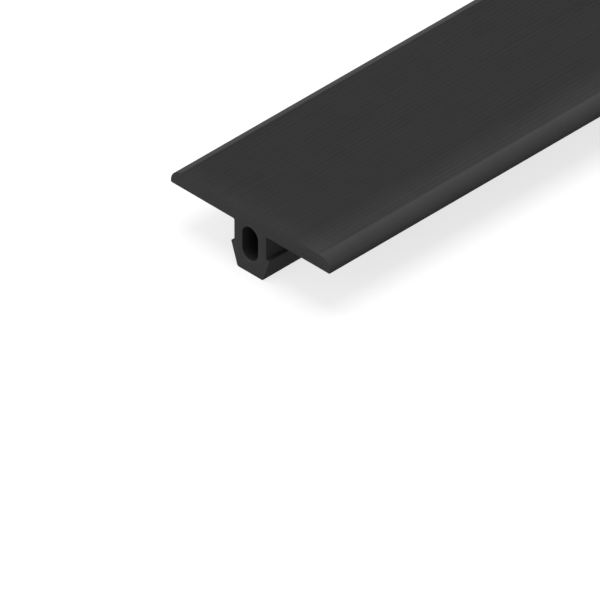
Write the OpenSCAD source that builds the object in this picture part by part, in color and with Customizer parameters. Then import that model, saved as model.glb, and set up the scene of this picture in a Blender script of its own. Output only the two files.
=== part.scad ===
// Slot cover profile: an extruded rubber strip that closes the slot of a 45 mm framing profile.
// X runs across the strip, Y along it and Z up. z = 0 is the cap's underside, where it seats.

/* [Strip] */
// Length of the cut piece
length = 200; // [50:5:2000]

/* [Slot it fits] */
// Width of the slot's mouth
slot_w = 8.2; // [7.4:0.1:10]
// Thickness of the lips on both sides of the mouth
lip_t = 4.5; // [2:0.1:7]
// Gap between the stem and each side of the mouth
side_gap = 0.1; // [0.05:0.05:0.3]
// Gap between the underside of a lip and the barb below it
lip_gap = 0.4; // [0.1:0.1:0.8]

/* [Cap] */
// Width of the cap
cap_w = 40; // [24:0.5:60]
// Thickness of the cap
cap_t = 3; // [2.8:0.1:5]
// Radius of the two upper edges
cap_r = 2.5; // [0.5:0.1:2.5]
// Radius of the two lower edges
cap_low_r = 0.2; // [0.1:0.1:0.5]

/* [Grip ribs] */
// Distance from one rib to the next
rib_pitch = 1; // [0.8:0.1:2]
// Width of the round-bottomed groove between two ribs
groove_w = 0.5; // [0.2:0.05:0.7]
// Depth of the groove
groove_d = 0.06; // [0.04:0.01:0.25]
// Least smooth border between the last groove and the rounded edge
rib_border = 0.2; // [0.1:0.1:3]

/* [Stem and foot] */
// How far each barb reaches past the side of the mouth
barb_grip = 0.75; // [0.5:0.05:1.2]
// Height of the foot, from the barbs to its flat bottom
foot_h = 5; // [3:0.1:6]
// Width of the flat bottom
foot_w = 6.4; // [4:0.1:7.2]
// Radius of the inner corners where the stem meets the cap
root_r = 0.3; // [0.1:0.1:0.6]
// Radius of the inner corners where the stem meets the barbs
notch_r = 0.15; // [0.05:0.05:0.2]
// Radius of the barbs' tips
barb_r = 0.2; // [0.05:0.05:0.3]
// Radius of the foot's lower corners
foot_r = 0.4; // [0.1:0.1:0.8]

/* [Hollow] */
// Width of the hollow, whose ends are half-round
hollow_w = 4; // [2:0.1:4.4]
// Rubber left between the top of the hollow and the top of the cap
roof_t = 2.95; // [1.5:0.05:4]
// Rubber left between the hollow and the bottom of the foot
base_t = 2.95; // [1:0.05:4]

/* [Hidden] */
stem_w = slot_w - 2 * side_gap;
barb_w = slot_w + 2 * barb_grip;
barb_z = -(lip_t + lip_gap);
foot_z = barb_z - foot_h;
hollow_r = hollow_w / 2;
hollow_top = cap_t - roof_t - hollow_r;
hollow_bottom = foot_z + base_t + hollow_r;
groove_r = (pow(groove_w / 2, 2) + pow(groove_d, 2)) / (2 * groove_d);
edge_r = min(cap_r, cap_t - cap_low_r);
rib_half_w = cap_w / 2 - edge_r - rib_border - groove_w / 2;
grooves_per_side = floor(rib_half_w / rib_pitch + 0.001);
corner_steps = 4;
overlap = 0.5;

// Unit vector from a to b
function toward(a, b) = (b - a) / norm(b - a);

// Points of corner b, on its way from a to c, rounded to radius r
function round_corner(a, b, c, r) =
    let (
        back = toward(b, a),
        on = toward(b, c),
        half = acos(back * on) / 2,
        centre = b + toward([0, 0], back + on) * r / sin(half),
        start = b + back * r / tan(half) - centre,
        turn = (back[0] * on[1] - back[1] * on[0] > 0 ? -1 : 1) * (180 - 2 * half)
    )
    [for (i = [0:corner_steps])
        let (t = turn * i / corner_steps)
        centre + [start[0] * cos(t) - start[1] * sin(t), start[0] * sin(t) + start[1] * cos(t)]];

// Outline through the corners [x, z, radius], each rounded to its radius
function rounded(corners) =
    let (n = len(corners), p = [for (c = corners) [c[0], c[1]]])
    [for (i = [0:n - 1])
        each corners[i][2] > 0
            ? round_corner(p[(i + n - 1) % n], p[i], p[(i + 1) % n], corners[i][2])
            : [p[i]]];

module both_sides() {
    children();
    mirror([1, 0]) children();
}

// Right half of the cap: square lower edge with a small radius, quarter-round upper edge
module half_cap() {
    polygon(rounded([
        [0, 0, 0],
        [cap_w / 2, 0, cap_low_r],
        [cap_w / 2, cap_t - edge_r, 0],
        [cap_w / 2 - edge_r, cap_t, 0],
        [0, cap_t, 0]
    ]));
    translate([cap_w / 2 - edge_r, cap_t - edge_r]) intersection() {
        circle(r = edge_r, $fn = 72);
        square(edge_r);
    }
}

// Right half of the stem, with its barb and the tapered foot
module half_stem() {
    polygon(rounded([
        [0, overlap, 0],
        [0, foot_z, 0],
        [foot_w / 2, foot_z, foot_r],
        [barb_w / 2, barb_z, barb_r],
        [stem_w / 2, barb_z, notch_r],
        [stem_w / 2, overlap, 0]
    ]));
}

// Fillet in the inner corner between the stem and the cap
module root_fillet() {
    translate([stem_w / 2, -root_r]) difference() {
        translate([-root_r, 0]) square([2 * root_r, root_r + overlap]);
        translate([root_r, 0]) circle(r = root_r, $fn = 48);
    }
}

// Hollow that lets the stem and its barbs squeeze together
module hollow() {
    translate([0, hollow_top]) circle(r = hollow_r, $fn = 72);
    translate([0, hollow_bottom]) circle(r = hollow_r, $fn = 72);
    translate([-hollow_r, hollow_bottom]) square([hollow_w, hollow_top - hollow_bottom]);
}

// Shallow round-bottomed grooves that leave the fine ribs of the tread
module grooves() {
    for (i = [-grooves_per_side:grooves_per_side])
        translate([i * rib_pitch, cap_t - groove_d + groove_r]) circle(r = groove_r, $fn = 72);
}

// Whole cross-section, symmetric about x = 0
module section() {
    difference() {
        both_sides() {
            half_cap();
            half_stem();
            root_fillet();
        }
        hollow();
        grooves();
    }
}

module cover_profile() {
    color([0.21, 0.21, 0.215])
        rotate([90, 0, 0]) linear_extrude(height = length, center = true) section();
}

cover_profile();
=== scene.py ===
"""Looks of the slot cover profile: the rubber strip, its finishes, the stage and the camera.

Sizes are in metres. X runs across the strip, Y along it and Z up, and z = 0 is the cap's underside.
"""

import math

import bmesh
import bpy
from bpy.props import FloatProperty, FloatVectorProperty, IntProperty, PointerProperty
from bpy.types import Operator, Panel, PropertyGroup
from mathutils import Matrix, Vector


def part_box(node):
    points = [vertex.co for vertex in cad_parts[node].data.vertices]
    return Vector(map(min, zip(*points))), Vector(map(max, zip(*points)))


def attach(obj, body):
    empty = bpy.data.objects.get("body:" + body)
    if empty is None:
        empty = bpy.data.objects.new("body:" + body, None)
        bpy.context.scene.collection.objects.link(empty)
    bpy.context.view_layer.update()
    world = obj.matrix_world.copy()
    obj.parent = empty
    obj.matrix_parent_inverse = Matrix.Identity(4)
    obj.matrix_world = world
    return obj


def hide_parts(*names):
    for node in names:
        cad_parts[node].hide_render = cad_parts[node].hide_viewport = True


bl_info = {
    "name": "Slot Cover Profile",
    "version": (1, 0, 0),
    "blender": (4, 5, 0),
    "location": "3D View > Sidebar > Cover Profile",
    "description": "Models a fine-ribbed rubber cover profile with its finishes and a white studio",
    "category": "Object",
}

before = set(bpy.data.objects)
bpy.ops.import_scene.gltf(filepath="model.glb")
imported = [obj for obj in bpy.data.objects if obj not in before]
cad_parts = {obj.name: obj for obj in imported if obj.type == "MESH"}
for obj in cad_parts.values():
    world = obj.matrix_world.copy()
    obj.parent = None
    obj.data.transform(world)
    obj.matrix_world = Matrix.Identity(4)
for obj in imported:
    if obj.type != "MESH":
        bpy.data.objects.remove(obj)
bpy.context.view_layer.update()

NODE = "cover_profile"
BODY = "root"
LOW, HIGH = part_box(NODE)
# Places closer than TOUCH count as one, and a normal past FACING along an axis counts as along it
TOUCH = 1e-6
FACING = 0.9
# How far a cutter reaches past both ends of the strip
CUT_PAST = 1e-3
SQUARE = math.radians(90)
FLAT_ANGLE = math.radians(0.1)
SMOOTH_ANGLE = math.radians(40)
ROUND_PROFILE = 0.5
SELECT_MODES = {"verts": "VERT", "edges": "EDGE", "faces": "FACE"}

# Facets of each kind of rounding, and sides of each round cutter
EDGE_STEPS = 16
CORNER_STEPS = 5
CREST_STEPS = 3
RIM_STEPS = 2
HOLLOW_SIDES = 48
GROOVE_SIDES = 32

WHITE = (1, 1, 1, 1)
# How a pattern is drawn out along X, Y and Z: far where the number is small
EVEN = (1, 1, 1)
ALONG_STRIP = (1, 0.01, 1)
ACROSS_STRIP = (0.02, 1, 1)
# Range of the raw noise that is spread over 0 to 1, and the middle of the spread noise
NOISE_RANGE = (0.3, 0.7)
NOISE_MIDDLE = 0.5
NOISE_DETAIL = 2
# Share of the lines in the relief, the rest being grain, and of the clouds in the colour
LINE_SHARE = 0.45
CLOUD_SHARE = 0.2
SKIN_SPECULAR = 0.12
TREAD_SPECULAR = 0.015
CUT_SPECULAR = 0.15
HOLLOW_SPECULAR = 0.1
# Order of the four materials on the strip
SKIN, TREAD, CUT, HOLLOW = range(4)

# Directions from which the lamps shine
FROM_TOP = (0, 0, 1)
FROM_FRONT = (0, -1, 0.5)
FROM_BACK = (-1, 1, 1)


def length(name, description, default):
    """A size in metres that can be set in the sidebar."""
    return FloatProperty(
        name=name, description=description, default=default, min=0, precision=5,
        subtype="DISTANCE", unit="LENGTH"
    )


def share(name, description, default):
    """A share from 0 to 1 that can be set in the sidebar."""
    return FloatProperty(
        name=name, description=description, default=default, min=0, max=1, subtype="FACTOR"
    )


def colour(name, description, default):
    """A linear colour that can be set in the sidebar."""
    return FloatVectorProperty(
        name=name, description=description, default=default, size=3, min=0, max=1,
        precision=4, subtype="COLOR"
    )


def power(name, description, default):
    """A lamp's power in watts that can be set in the sidebar."""
    return FloatProperty(name=name, description=description, default=default, min=0, unit="POWER")


def lift(name, description, default):
    """How much lighter than its surroundings a place's colour is painted: 0.1 is a tenth lighter, -0.1 a
    tenth darker.
    """
    return FloatProperty(
        name=name, description=description, default=default, min=-1, max=4, subtype="FACTOR"
    )


class StripSizes(PropertyGroup):
    """Sizes of the strip's section, apart from its outer box, which comes from the part in model.glb"""

    edge_radius: length("Edge radius", "Radius of the cap's two upper edges", 0.0025)
    low_edge_radius: length("Lower edge radius", "Radius of the cap's two lower edges", 0.0002)
    stem_width: length("Stem width", "Width of the stem between the lips of the slot", 0.008)
    barb_width: length("Barb width", "Width over the two barbs", 0.0097)
    barb_depth: length("Barb depth", "Depth of the barbs' ledge below the cap", 0.0049)
    foot_width: length("Foot width", "Width of the foot's flat bottom", 0.0064)
    root_radius: length("Root radius", "Radius of the corner between stem and cap", 0.0003)
    notch_radius: length("Notch radius", "Radius of the corner between stem and barb", 0.00015)
    barb_radius: length("Barb radius", "Radius of the barbs' tips", 0.0002)
    foot_radius: length("Foot radius", "Radius of the foot's lower corners", 0.0004)
    hollow_width: length("Hollow width", "Width of the hollow, whose ends are half-round", 0.004)
    roof: length("Roof", "Rubber between the hollow and the top of the cap", 0.00295)
    base: length("Base", "Rubber between the hollow and the bottom of the foot", 0.00295)
    rim_radius: length("Rim radius", "Radius of the edges at the two cut ends", 0.00003)


class TreadSizes(PropertyGroup):
    """Sizes of the fine ribs on top of the cap"""

    pitch: length("Pitch", "Distance from one rib to the next", 0.001)
    groove_width: length("Groove width", "Width of the round groove between two ribs", 0.0005)
    groove_depth: length("Groove depth", "Depth of the round groove between two ribs", 0.00006)
    grooves: IntProperty(name="Grooves", description="Number of grooves, an odd number", default=35, min=1)
    crest_radius: length("Crest radius", "Radius of the ribs' upper edges", 0.00035)


class RubberFinish(PropertyGroup):
    """Colours, sheen and surface detail of the rubber"""

    skin_color: colour("Skin colour", "Smooth rubber of the edges and the stem", (0.0577, 0.0575, 0.0577))
    skin_roughness: share("Skin roughness", "Roughness of the smooth rubber", 0.72)
    # Tread colour: the rubber's own black, painted darker than the skin's as shade over the ribbed top
    tread_painted_shade_color: colour("Tread colour", "Ribbed top of the cap", (0.0397, 0.0395, 0.0395))
    tread_roughness: share("Tread roughness", "Roughness of the ribbed top", 0.78)
    cut_color: colour("Cut colour", "Rubber of the cut ends", (0.058, 0.058, 0.058))
    cut_roughness: share("Cut roughness", "Roughness of the cut ends", 0.82)
    # Hollow colour: the same black rubber, painted far darker as the shade inside the hollow
    hollow_painted_shade_color: colour("Hollow colour", "Rubber inside the hollow", (0.007, 0.007, 0.0073))
    hollow_roughness: share("Hollow roughness", "Roughness inside the hollow", 0.85)
    variation: share("Variation", "How far the colour varies over the surface", 0.16)
    roughness_spread: share("Roughness spread", "How far the roughness varies over the surface", 0.2)
    die_line: length("Die line width", "Width of the fine lines that the extrusion die leaves", 0.00035)
    grain: length("Grain size", "Size of the rubber's fine grain", 0.00012)
    cloud: length("Cloud size", "Size of the faint clouds in the colour", 0.006)
    knife_line: length("Knife line width", "Width of the fine lines on the cut ends", 0.00016)
    relief: length("Relief", "Height of the die lines and the grain", 0.000025)


class PaintedLightAndShade(PropertyGroup):
    """Places where light or shade is painted into the rubber's colour, and how far each one reaches"""

    # Painted light: the tread's colour lighter towards each cut end
    end_painted_light: lift("Tread end", "Lightness of the tread at a cut end", 0.175)
    end_reach: length("Tread end reach", "How far the tread's lighter end reaches", 0.012)
    end_falloff: FloatProperty(
        name="Tread end falloff", description="How soon the tread's lighter end fades out",
        default=3.3, min=0.1
    )
    # Painted light: the tread's colour lighter along its right edge
    side_painted_light: lift("Tread side", "Lightness of the tread along its right edge", 0.35)
    side_reach: length("Tread side reach", "How far the tread's lighter side reaches", 0.0075)
    # Painted shade: the bottoms of the grooves darker
    groove_painted_shade: lift("Grooves", "Lightness of the bottoms of the grooves between the ribs", -0.04)
    # Painted shade: the skin darker on the stem, the foot and the lower part of the cap's flank
    below_painted_shade: lift("Below the cap", "Lightness of the skin on the stem and below the cap", -0.4)
    below_reach: length("Below reach", "How far up the cap's flank that reaches", 0.0014)
    # Painted light: a cut end's colour lighter along its upper edge
    upper_painted_light: lift("Cut end, top", "Lightness of a cut end along its upper edge", 0.02)
    upper_reach: length("Cut end, top reach", "How far that reaches down", 0.0012)
    # Painted light: a cut end's colour lighter towards its foot, where the floor shades it
    foot_painted_light: lift("Cut end, foot", "Lightness of a cut end at its foot", 0.17)
    foot_reach: length("Cut end, foot reach", "How far that reaches up", 0.008)
    # Painted light: the hollow's colour lighter at its open ends
    mouth_painted_light: lift("Hollow's mouth", "Lightness of the hollow at its open ends", 2.5)
    mouth_reach: length("Hollow's mouth reach", "How far that reaches into the hollow", 0.0035)


class StudioSettings(PropertyGroup):
    """Camera, floor, lamps and surroundings"""

    azimuth: FloatProperty(
        name="Azimuth", description="Direction of the camera round Z, from the -Y side",
        default=math.radians(45.09), subtype="ANGLE", unit="ROTATION"
    )
    elevation: FloatProperty(
        name="Elevation", description="Height of the camera over the horizon",
        default=math.radians(35.63), subtype="ANGLE", unit="ROTATION"
    )
    look_at: FloatVectorProperty(
        name="Look at", description="Point in the middle of the picture",
        default=(0.01151, -0.09898, -0.01041), subtype="TRANSLATION", unit="LENGTH", precision=5
    )
    frame_width: length("Frame width", "Width of the picture at the strip", 0.10642)
    lens: FloatProperty(
        name="Lens", description="Focal length in millimetres, long for a near-parallel view",
        default=1680, min=50
    )
    lamp_distance: length("Lamp distance", "Distance of the lamps from the strip's middle", 2.4)
    lamp_size: length("Lamp size", "Side of each square lamp", 1.8)
    top_power: power("Top lamp", "Power of the lamp overhead", 34)
    front_power: power("Front lamp", "Power of the lamp that lights the near end", 10)
    back_power: power("Back lamp", "Power of the lamp behind the left edge", 7)
    sky_light: share("Sky light", "Level at which the surroundings light the strip", 0.28)
    floor_size: length("Floor size", "Side of the square floor", 2.4)
    floor_shade: share("Floor shade", "Grey of the floor, which shows the shadow", 0.4)
    floor_glow: share("Floor glow", "Light added where the floor is seen, so that it is white", 0.75)


def edit(piece):
    """Opens a piece alone in edit mode, with nothing on it selected."""
    bpy.ops.object.select_all(action="DESELECT")
    piece.select_set(True)
    bpy.context.view_layer.objects.active = piece
    bpy.ops.object.mode_set(mode="EDIT")
    bpy.ops.mesh.select_all(action="DESELECT")


def leave_edit():
    bpy.ops.object.mode_set(mode="OBJECT")


def add_box(name, low, high):
    """Adds a box between two corners, with its place in its mesh."""
    low, high = Vector(low), Vector(high)
    bpy.ops.object.select_all(action="DESELECT")
    bpy.ops.mesh.primitive_cube_add(size=1, location=(low + high) / 2, scale=high - low)
    bpy.ops.object.transform_apply(location=True, rotation=True, scale=True)
    box = bpy.context.active_object
    box.name = name
    return box


def add_rod(name, sides, half_width, x, z):
    """Adds a rod along Y, longer than the strip, with a flat side facing left, right, up and down."""
    half_side = math.pi / sides
    bpy.ops.object.select_all(action="DESELECT")
    bpy.ops.mesh.primitive_cylinder_add(
        vertices=sides, radius=half_width / math.cos(half_side), depth=HIGH.y - LOW.y + 2 * CUT_PAST,
        location=(x, (LOW.y + HIGH.y) / 2, z), rotation=(SQUARE, half_side, 0)
    )
    bpy.ops.object.transform_apply(location=True, rotation=True, scale=True)
    rod = bpy.context.active_object
    rod.name = name
    return rod


def select(piece, kind, wanted):
    """Selects the corners, edges or faces of the open piece for which wanted says True."""
    bpy.ops.mesh.select_mode(type=SELECT_MODES[kind])
    bpy.ops.mesh.select_all(action="DESELECT")
    shape = bmesh.from_edit_mesh(piece.data)
    for element in getattr(shape, kind):
        if wanted(element):
            element.select_set(True)
    bmesh.update_edit_mesh(piece.data)


def runs_along(edge, places):
    """Whether an edge runs along Y at one of these (x, z) places."""
    a, b = (corner.co for corner in edge.verts)
    if abs(a.x - b.x) > TOUCH or abs(a.z - b.z) > TOUCH:
        return False
    return any(abs(a.x - x) < TOUCH and abs(a.z - z) < TOUCH for x, z in places)


def bevel(offset, segments):
    """Rounds the selected edges."""
    bpy.ops.mesh.bevel(
        offset=offset, segments=segments, profile=ROUND_PROFILE, affect="EDGES", clamp_overlap=False
    )


def round_edges(piece, places, radius, corner=SQUARE, segments=CORNER_STEPS):
    """Rounds the long edges at these (x, z) places, whose faces meet at the angle corner."""
    select(piece, "edges", lambda edge: runs_along(edge, places))
    bevel(radius / math.tan(corner / 2), segments)


def on_both_sides(x, z):
    """The same place on the left and on the right of the section."""
    return [(-x, z), (x, z)]


def cut_away(piece, cutter):
    """Takes the cutter's shape out of the piece and deletes the cutter."""
    bpy.ops.object.select_all(action="DESELECT")
    bpy.context.view_layer.objects.active = piece
    cut = piece.modifiers.new("Cut", "BOOLEAN")
    cut.operation = "DIFFERENCE"
    cut.solver = "EXACT"
    cut.object = cutter
    bpy.ops.object.modifier_apply(modifier=cut.name)
    bpy.data.objects.remove(cutter)


def extrude_section(strip, sizes):
    """Draws the stem, the barbs and the foot out of the cap's underside."""
    stem, barb, foot = sizes.stem_width / 2, sizes.barb_width / 2, sizes.foot_width / 2
    ledge = barb - stem
    edit(strip)
    for x in (-stem, stem):
        select(strip, "faces", lambda face: face.normal.z < -FACING)
        bpy.ops.mesh.bisect(plane_co=(x, 0, 0), plane_no=(1, 0, 0), threshold=TOUCH)
    select(
        strip, "faces",
        lambda face: face.normal.z < -FACING and abs(face.calc_center_median().x) < stem
    )
    bpy.ops.mesh.extrude_region_move(TRANSFORM_OT_translate={"value": (0, 0, -sizes.barb_depth)})
    bpy.ops.mesh.extrude_region_move(TRANSFORM_OT_translate={"value": (0, 0, LOW.z + sizes.barb_depth)})
    bpy.ops.transform.resize(value=((foot - ledge) / stem, 1, 1), center_override=(0, 0, LOW.z))
    for side in (-1, 1):
        select(
            strip, "faces",
            lambda face: face.normal.x * side > FACING and face.calc_center_median().z < -sizes.barb_depth
        )
        bpy.ops.mesh.extrude_region_move(TRANSFORM_OT_translate={"value": (side * ledge, 0, 0)})
    bpy.ops.mesh.select_all(action="SELECT")
    bpy.ops.mesh.dissolve_limited(angle_limit=FLAT_ANGLE)
    leave_edit()


def round_section(strip, sizes):
    """Rounds every long edge of the section to its own radius."""
    ledge = -sizes.barb_depth
    taper = math.atan2((sizes.barb_width - sizes.foot_width) / 2, ledge - LOW.z)
    edit(strip)
    round_edges(strip, on_both_sides(HIGH.x, HIGH.z), sizes.edge_radius, segments=EDGE_STEPS)
    round_edges(strip, on_both_sides(HIGH.x, 0), sizes.low_edge_radius)
    round_edges(strip, on_both_sides(sizes.stem_width / 2, 0), sizes.root_radius)
    round_edges(strip, on_both_sides(sizes.stem_width / 2, ledge), sizes.notch_radius)
    round_edges(strip, on_both_sides(sizes.barb_width / 2, ledge), sizes.barb_radius, SQUARE - taper)
    round_edges(strip, on_both_sides(sizes.foot_width / 2, LOW.z), sizes.foot_radius, SQUARE + taper)
    leave_edit()


def cut_hollow(strip, sizes):
    """Cuts the hollow with half-round ends that runs through the stem."""
    radius = sizes.hollow_width / 2
    top = HIGH.z - sizes.roof - radius
    bottom = LOW.z + sizes.base + radius
    rod = add_rod("hollow", HOLLOW_SIDES, radius, 0, top)
    edit(rod)
    select(rod, "verts", lambda corner: corner.co.z < top)
    bpy.ops.transform.translate(value=(0, 0, bottom - top))
    leave_edit()
    cut_away(strip, rod)


def is_crest_edge(edge, tread):
    """Whether an edge is a long edge between a rib's flat top and a groove."""
    a, b = (corner.co for corner in edge.verts)
    if abs(a.x - b.x) > TOUCH or abs(a.z - HIGH.z) > TOUCH or abs(b.z - HIGH.z) > TOUCH:
        return False
    return abs(a.x) < tread.grooves / 2 * tread.pitch


def cut_grooves(strip, tread):
    """Cuts the round grooves of the tread and rounds the edges of the ribs between them."""
    half, depth = tread.groove_width / 2, tread.groove_depth
    radius = (half ** 2 + depth ** 2) / (2 * depth)
    slope = math.asin(half / radius)
    first = -(tread.grooves - 1) / 2 * tread.pitch
    rod = add_rod("groove", GROOVE_SIDES, radius, first, HIGH.z + radius - depth)
    row = rod.modifiers.new("Row", "ARRAY")
    row.count = tread.grooves
    row.use_relative_offset = False
    row.use_constant_offset = True
    row.constant_offset_displace = (tread.pitch, 0, 0)
    bpy.ops.object.modifier_apply(modifier=row.name)
    cut_away(strip, rod)
    edit(strip)
    select(strip, "edges", lambda edge: is_crest_edge(edge, tread))
    bevel(tread.crest_radius * math.tan(slope / 2), CREST_STEPS)
    leave_edit()


def is_rim(edge):
    """Whether an edge lies between a cut end and the strip's outside."""
    if len(edge.link_faces) != 2:
        return False
    ends = [abs(face.normal.y) > FACING for face in edge.link_faces]
    return ends[0] != ends[1]


def finish_mesh(strip, sizes):
    """Rounds the rims of the cut ends, merges doubles and turns every face outwards."""
    edit(strip)
    select(strip, "edges", is_rim)
    bevel(sizes.rim_radius, RIM_STEPS)
    bpy.ops.mesh.select_all(action="SELECT")
    bpy.ops.mesh.remove_doubles(threshold=TOUCH)
    bpy.ops.mesh.normals_make_consistent(inside=False)
    open_edges = sum(len(edge.link_faces) != 2 for edge in bmesh.from_edit_mesh(strip.data).edges)
    leave_edit()
    if open_edges:
        raise RuntimeError(f"the strip has {open_edges} open edges")
    bpy.ops.object.shade_smooth_by_angle(angle=SMOOTH_ANGLE)


class NodeTree:
    """One node tree, with short ways to add nodes to it."""

    def __init__(self, tree):
        self.tree = tree

    def fill(self, node, inputs):
        """Sets a node's inputs to values, or links them to the outputs of other nodes."""
        for name, value in inputs.items():
            if isinstance(value, bpy.types.NodeSocket):
                self.tree.links.new(value, node.inputs[name])
            else:
                node.inputs[name].default_value = value

    def node(self, kind, inputs, **settings):
        """Adds a node with its settings and inputs, and returns its outputs."""
        node = self.tree.nodes.new(kind)
        for name, value in settings.items():
            setattr(node, name, value)
        self.fill(node, inputs)
        return node.outputs

    def math(self, operation, *values):
        """Works out one value from one, two or three."""
        return self.node("ShaderNodeMath", dict(enumerate(values)), operation=operation)[0]

    def blend(self, value, first, last, low=0.0, high=1.0, ease="LINEAR"):
        """Turns a value between first and last into one between low and high."""
        inputs = {"Value": value, "From Min": first, "From Max": last, "To Min": low, "To Max": high}
        return self.node("ShaderNodeMapRange", inputs, interpolation_type=ease)[0]

    def scale(self, vector, factor):
        return self.node("ShaderNodeVectorMath", {0: vector, "Scale": factor}, operation="SCALE")[0]

    def group(self, name, inputs):
        """Places a node group."""
        return self.node("ShaderNodeGroup", inputs, node_tree=bpy.data.node_groups[name])


def start_group(name, inputs, outputs):
    """Starts a node group with named inputs and outputs, and returns its tree and its inputs."""
    group = bpy.data.node_groups.new(name, "ShaderNodeTree")
    for label, kind in inputs.items():
        group.interface.new_socket(label, in_out="INPUT", socket_type=f"NodeSocket{kind}")
    for label, kind in outputs.items():
        group.interface.new_socket(label, in_out="OUTPUT", socket_type=f"NodeSocket{kind}")
    tree = NodeTree(group)
    return tree, tree.node("NodeGroupInput", {})


def make_surface_noise():
    """Soft noise of a given size, drawn out along each axis where Stretch is small."""
    tree, given = start_group(
        "surface_noise", {"Coordinates": "Vector", "Stretch": "Vector", "Size": "Float"}, {"Value": "Float"}
    )
    sides = {0: given["Coordinates"], 1: given["Stretch"]}
    drawn = tree.node("ShaderNodeVectorMath", sides, operation="MULTIPLY")
    place = tree.scale(drawn[0], tree.math("DIVIDE", 1, given["Size"]))
    noise = tree.node("ShaderNodeTexNoise", {"Vector": place, "Scale": 1, "Detail": NOISE_DETAIL})
    tree.node("NodeGroupOutput", {"Value": tree.blend(noise[0], *NOISE_RANGE)})


def make_edge_fade():
    """Mask that rises from 0 to 1 over Reach as Position comes to Edge, later where Falloff is high."""
    tree, given = start_group(
        "edge_fade", {"Position": "Float", "Edge": "Float", "Reach": "Float", "Falloff": "Float"},
        {"Mask": "Float"}
    )
    start = tree.math("SUBTRACT", given["Edge"], given["Reach"])
    rise = tree.blend(given["Position"], start, given["Edge"], ease="SMOOTHSTEP")
    tree.node("NodeGroupOutput", {"Mask": tree.math("POWER", rise, given["Falloff"])})


def make_rubber_surface():
    """Rubber with fine lines and grain in its colour, roughness and height, and clouds in its colour."""
    tree, given = start_group(
        "rubber_surface",
        {
            "Coordinates": "Vector", "Color": "Color", "Shade": "Float", "Variation": "Float",
            "Roughness": "Float", "Roughness Spread": "Float", "Line Stretch": "Vector",
            "Line Size": "Float", "Grain Size": "Float", "Cloud Size": "Float",
        },
        {"Color": "Color", "Roughness": "Float", "Height": "Float"}
    )
    place = given["Coordinates"]
    patterns = ((given["Line Stretch"], "Line Size"), (EVEN, "Grain Size"), (EVEN, "Cloud Size"))
    lines, grain, clouds = (
        tree.group("surface_noise", {"Coordinates": place, "Stretch": stretch, "Size": given[size]})[0]
        for stretch, size in patterns
    )
    relief = tree.math("MULTIPLY_ADD", lines, LINE_SHARE, tree.math("MULTIPLY", grain, 1 - LINE_SHARE))
    tone = tree.math("MULTIPLY_ADD", clouds, CLOUD_SHARE, tree.math("MULTIPLY", relief, 1 - CLOUD_SHARE))
    swing = tree.math("MULTIPLY", tree.blend(tone, 0, 1, -1, 1), given["Variation"])
    # Random swing of the colour, times Shade, which carries each material's painted light and shade
    shade = tree.math("MULTIPLY", tree.math("ADD", swing, 1), given["Shade"])
    unevenness = tree.math("SUBTRACT", relief, NOISE_MIDDLE)
    tree.node("NodeGroupOutput", {
        "Color": tree.scale(given["Color"], shade),
        "Roughness": tree.math("MULTIPLY_ADD", unevenness, given["Roughness Spread"], given["Roughness"]),
        "Height": relief,
    })


class RubberMaterial:
    """A rubber material that starts with its shader and the strip's coordinates."""

    def __init__(self, name, specular):
        self.material = bpy.data.materials.new(name)
        self.material.use_nodes = True
        self.tree = NodeTree(self.material.node_tree)
        self.shader = self.material.node_tree.nodes["Principled BSDF"]
        self.shader.inputs["Specular IOR Level"].default_value = specular
        self.place = self.tree.node("ShaderNodeTexCoord", {})["Object"]
        self.x, self.y, self.z = self.tree.node("ShaderNodeSeparateXYZ", {"Vector": self.place})

    def shade(self, position, edge, reach, lightness, falloff=1.0):
        """Brightness factor of painted light or shade, which goes from 1 to 1 + lightness as the position
        comes to the edge.
        """
        inputs = {"Position": position, "Edge": edge, "Reach": reach, "Falloff": falloff}
        return self.tree.math("MULTIPLY_ADD", self.tree.group("edge_fade", inputs)[0], lightness, 1.0)

    def from_middle(self):
        """Distance from the middle of the strip's length."""
        return self.tree.math("ABSOLUTE", self.y)

    def depth(self):
        """Depth below the cap's underside."""
        return self.tree.math("MULTIPLY", self.z, -1.0)

    def finish(self, finish, color, roughness, shade, line_stretch, line_size):
        """Links the rubber surface and its relief to the shader, and returns the material."""
        surface = self.tree.group("rubber_surface", {
            "Coordinates": self.place, "Color": (*color, 1), "Shade": shade,
            "Variation": finish.variation, "Roughness": roughness,
            "Roughness Spread": finish.roughness_spread, "Line Stretch": line_stretch,
            "Line Size": line_size, "Grain Size": finish.grain, "Cloud Size": finish.cloud,
        })
        relief = self.tree.node("ShaderNodeBump", {"Height": surface["Height"], "Distance": finish.relief})
        self.tree.fill(self.shader, {
            "Base Color": surface["Color"], "Roughness": surface["Roughness"], "Normal": relief["Normal"],
        })
        return self.material


def make_smooth_rubber(finish, painted_tones):
    """Satin skin with die lines along the strip, with shade painted into its colour on the stem and below
    the cap.
    """
    skin = RubberMaterial("smooth_rubber", SKIN_SPECULAR)
    # Painted shade on the stem, the foot and the lower part of the cap's flank
    shade = skin.shade(skin.depth(), 0.0, painted_tones.below_reach, painted_tones.below_painted_shade)
    return skin.finish(
        finish, finish.skin_color, finish.skin_roughness, shade, ALONG_STRIP, finish.die_line
    )


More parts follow.
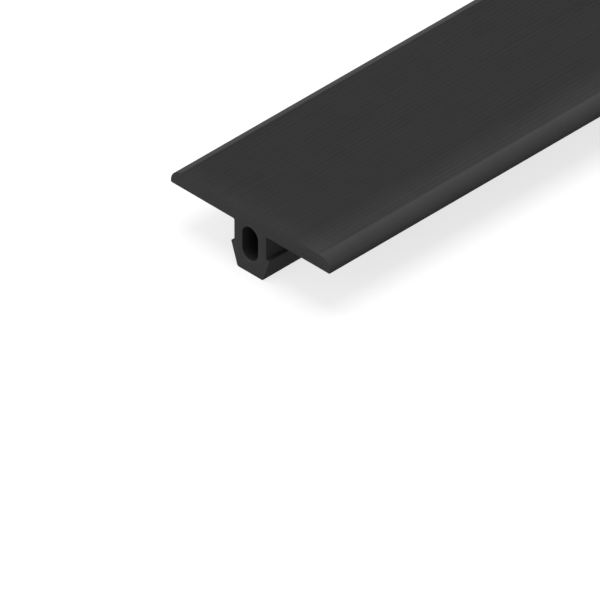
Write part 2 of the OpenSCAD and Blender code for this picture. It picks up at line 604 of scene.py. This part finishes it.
def make_ribbed_rubber(finish, painted_tones, sizes, tread_edge):
    """Matt tread with die lines, its black colour painted darker than the skin's as shade, with painted
    shade in the grooves and painted light at the cut ends and along its right edge.
    """
    tread = RubberMaterial("ribbed_rubber", TREAD_SPECULAR)
    # Painted light: the tread lighter towards each cut end
    end = tread.shade(tread.from_middle(), HIGH.y, painted_tones.end_reach, painted_tones.end_painted_light, painted_tones.end_falloff)
    # Painted light: the tread lighter along its right edge
    side = tread.shade(tread.x, tread_edge, painted_tones.side_reach, painted_tones.side_painted_light)
    # Painted shade: the bottoms of the grooves darker
    off_groove = tread.tree.math("PINGPONG", tread.x, sizes.pitch / 2)
    in_groove = tread.tree.math("MULTIPLY", off_groove, -1.0)
    groove = tread.shade(in_groove, 0.0, sizes.groove_width / 2, painted_tones.groove_painted_shade)
    shade = tread.tree.math("MULTIPLY", tread.tree.math("MULTIPLY", end, side), groove)
    return tread.finish(
        finish, finish.tread_painted_shade_color, finish.tread_roughness, shade, ALONG_STRIP, finish.die_line
    )


def make_cut_rubber(finish, painted_tones):
    """Cut end with fine knife lines, with painted light along its upper edge and towards its foot."""
    cut = RubberMaterial("cut_rubber", CUT_SPECULAR)
    # Painted light along the cut end's upper edge
    upper = cut.shade(cut.z, HIGH.z, painted_tones.upper_reach, painted_tones.upper_painted_light)
    # Painted light towards the cut end's foot, against the floor's shade
    foot = cut.shade(cut.depth(), -LOW.z, painted_tones.foot_reach, painted_tones.foot_painted_light)
    shade = cut.tree.math("MULTIPLY", upper, foot)
    return cut.finish(
        finish, finish.cut_color, finish.cut_roughness, shade, ACROSS_STRIP, finish.knife_line
    )


def make_hollow_rubber(finish, painted_tones):
    """Inside of the hollow, the same rubber with its colour painted dark as shade, and painted light at its
    open ends.
    """
    hollow = RubberMaterial("hollow_rubber", HOLLOW_SPECULAR)
    # Painted light at the hollow's open ends
    shade = hollow.shade(hollow.from_middle(), HIGH.y, painted_tones.mouth_reach, painted_tones.mouth_painted_light)
    return hollow.finish(
        finish, finish.hollow_painted_shade_color, finish.hollow_roughness, shade, ALONG_STRIP, finish.die_line
    )


def paint_strip(strip, settings):
    """Gives the skin, the tread, the cut ends and the hollow their materials."""
    finish, painted_tones = settings.finish, settings.painted_tones
    tread_edge = HIGH.x - settings.strip.edge_radius
    make_surface_noise()
    make_edge_fade()
    make_rubber_surface()
    strip.data.materials.clear()
    for material in (
        make_smooth_rubber(finish, painted_tones),
        make_ribbed_rubber(finish, painted_tones, settings.tread, tread_edge),
        make_cut_rubber(finish, painted_tones),
        make_hollow_rubber(finish, painted_tones),
    ):
        strip.data.materials.append(material)
    for face in strip.data.polygons:
        face.material_index = kind_of_face(face, settings.strip, settings.tread)


def kind_of_face(face, sizes, tread):
    """Whether a face is skin, tread, cut end or hollow, by its place and direction."""
    x, z = abs(face.center.x), face.center.z
    if abs(face.normal.y) > FACING:
        return CUT
    if x < HIGH.x - sizes.edge_radius and z > HIGH.z - tread.groove_depth - TOUCH:
        return TREAD
    beside_hollow = LOW.z + sizes.base - TOUCH < z < HIGH.z - sizes.roof + TOUCH
    if beside_hollow and x < sizes.hollow_width / 2 + TOUCH:
        return HOLLOW
    return SKIN


class COVER_OT_strip(Operator):
    """Model the rubber strip and give it its finishes"""

    bl_idname = "cover.strip"
    bl_label = "Rubber Strip"
    bl_options = {"REGISTER", "UNDO"}

    def execute(self, context):
        settings = context.scene.cover_profile
        strip = add_box("rubber_strip", (LOW.x, LOW.y, 0), HIGH)
        extrude_section(strip, settings.strip)
        round_section(strip, settings.strip)
        cut_hollow(strip, settings.strip)
        cut_grooves(strip, settings.tread)
        finish_mesh(strip, settings.strip)
        paint_strip(strip, settings)
        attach(strip, BODY)
        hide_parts(NODE)
        return {"FINISHED"}


def add_camera(studio):
    """Adds the camera that looks at the strip's near end."""
    back = Vector((
        math.sin(studio.azimuth) * math.cos(studio.elevation),
        -math.cos(studio.azimuth) * math.cos(studio.elevation),
        math.sin(studio.elevation),
    ))
    camera = bpy.data.cameras.new("camera")
    camera.lens = studio.lens
    distance = studio.lens * studio.frame_width / camera.sensor_width
    holder = bpy.data.objects.new("camera", camera)
    bpy.context.scene.collection.objects.link(holder)
    holder.rotation_mode = "QUATERNION"
    holder.location = Vector(studio.look_at) + back * distance
    holder.rotation_quaternion = (-back).to_track_quat("-Z", "Y")
    bpy.context.scene.camera = holder


def add_lamp(name, towards, energy, studio):
    """Adds a square soft lamp that shines on the strip from one direction."""
    lamp = bpy.data.lights.new(name, "AREA")
    lamp.shape = "SQUARE"
    lamp.size = studio.lamp_size
    lamp.energy = energy
    holder = bpy.data.objects.new(name, lamp)
    bpy.context.scene.collection.objects.link(holder)
    direction = Vector(towards).normalized()
    holder.location = direction * studio.lamp_distance
    holder.rotation_mode = "QUATERNION"
    holder.rotation_quaternion = (-direction).to_track_quat("-Z", "Y")
    holder.visible_camera = False


def seen_ray(tree):
    """1 for rays that see the surroundings, straight or by reflection, and 0 for those that light."""
    path = tree.node("ShaderNodeLightPath", {})
    seen = tree.math("MAXIMUM", path["Is Camera Ray"], path["Is Glossy Ray"])
    return tree.math("MAXIMUM", seen, path["Is Transmission Ray"])


def add_floor(studio):
    """Adds the white floor that the foot stands on, which is clear from below."""
    bpy.ops.object.select_all(action="DESELECT")
    bpy.ops.mesh.primitive_plane_add(size=studio.floor_size, location=(0, 0, LOW.z))
    floor = bpy.context.active_object
    floor.name = "floor"
    material = bpy.data.materials.new("white_floor")
    material.use_nodes = True
    material.node_tree.nodes.clear()
    tree = NodeTree(material.node_tree)
    grey = (studio.floor_shade, studio.floor_shade, studio.floor_shade, 1)
    paint = tree.node("ShaderNodeBsdfDiffuse", {"Color": grey})
    level = tree.math("MULTIPLY", seen_ray(tree), studio.floor_glow)
    glow = tree.node("ShaderNodeEmission", {"Strength": level})
    upper = tree.node("ShaderNodeAddShader", {0: paint[0], 1: glow[0]})
    clear = tree.node("ShaderNodeBsdfTransparent", {})
    below = tree.node("ShaderNodeNewGeometry", {})["Backfacing"]
    either = tree.node("ShaderNodeMixShader", {0: below, 1: upper[0], 2: clear[0]})
    tree.node("ShaderNodeOutputMaterial", {"Surface": either[0]})
    floor.data.materials.append(material)


def add_world(studio):
    """Adds white surroundings that light the strip at a lower level than they show."""
    world = bpy.data.worlds.new("studio")
    bpy.context.scene.world = world
    world.use_nodes = True
    world.node_tree.nodes.clear()
    tree = NodeTree(world.node_tree)
    level = tree.blend(seen_ray(tree), 0.0, 1.0, studio.sky_light, 1.0)
    background = tree.node("ShaderNodeBackground", {"Color": WHITE, "Strength": level})
    tree.node("ShaderNodeOutputWorld", {"Surface": background[0]})


class COVER_OT_studio(Operator):
    """Add the floor, the lamps and the camera"""

    bl_idname = "cover.studio"
    bl_label = "Studio"
    bl_options = {"REGISTER", "UNDO"}

    def execute(self, context):
        studio = context.scene.cover_profile.studio
        context.scene.view_settings.view_transform = "Standard"
        add_world(studio)
        add_floor(studio)
        add_lamp("top_lamp", FROM_TOP, studio.top_power, studio)
        add_lamp("front_lamp", FROM_FRONT, studio.front_power, studio)
        add_lamp("back_lamp", FROM_BACK, studio.back_power, studio)
        add_camera(studio)
        return {"FINISHED"}


class CoverProfileSettings(PropertyGroup):
    """All settings of the cover profile"""

    strip: PointerProperty(type=StripSizes)
    tread: PointerProperty(type=TreadSizes)
    finish: PointerProperty(type=RubberFinish)
    # Light and shade painted into the rubber's colour
    painted_tones: PointerProperty(type=PaintedLightAndShade)
    studio: PointerProperty(type=StudioSettings)


class COVER_PT_sidebar(Panel):
    """Lists the pieces and their settings"""

    bl_label = "Cover Profile"
    bl_idname = "COVER_PT_sidebar"
    bl_space_type = "VIEW_3D"
    bl_region_type = "UI"
    bl_category = "Cover Profile"

    def draw(self, context):
        settings = context.scene.cover_profile
        for operator, groups in (
            (COVER_OT_strip, (settings.strip, settings.tread, settings.finish, settings.painted_tones)),
            (COVER_OT_studio, (settings.studio,)),
        ):
            box = self.layout.box()
            for group in groups:
                for name in group.__annotations__:
                    box.prop(group, name)
            box.operator(operator.bl_idname)


CLASSES = (
    StripSizes, TreadSizes, RubberFinish, PaintedLightAndShade, StudioSettings, CoverProfileSettings,
    COVER_OT_strip, COVER_OT_studio, COVER_PT_sidebar,
)


def register():
    for cls in CLASSES:
        bpy.utils.register_class(cls)
    bpy.types.Scene.cover_profile = PointerProperty(type=CoverProfileSettings)


def unregister():
    del bpy.types.Scene.cover_profile
    for cls in reversed(CLASSES):
        bpy.utils.unregister_class(cls)


def main():
    register()
    bpy.ops.cover.strip()
    bpy.ops.cover.studio()


if __name__ == "__main__":
    main()
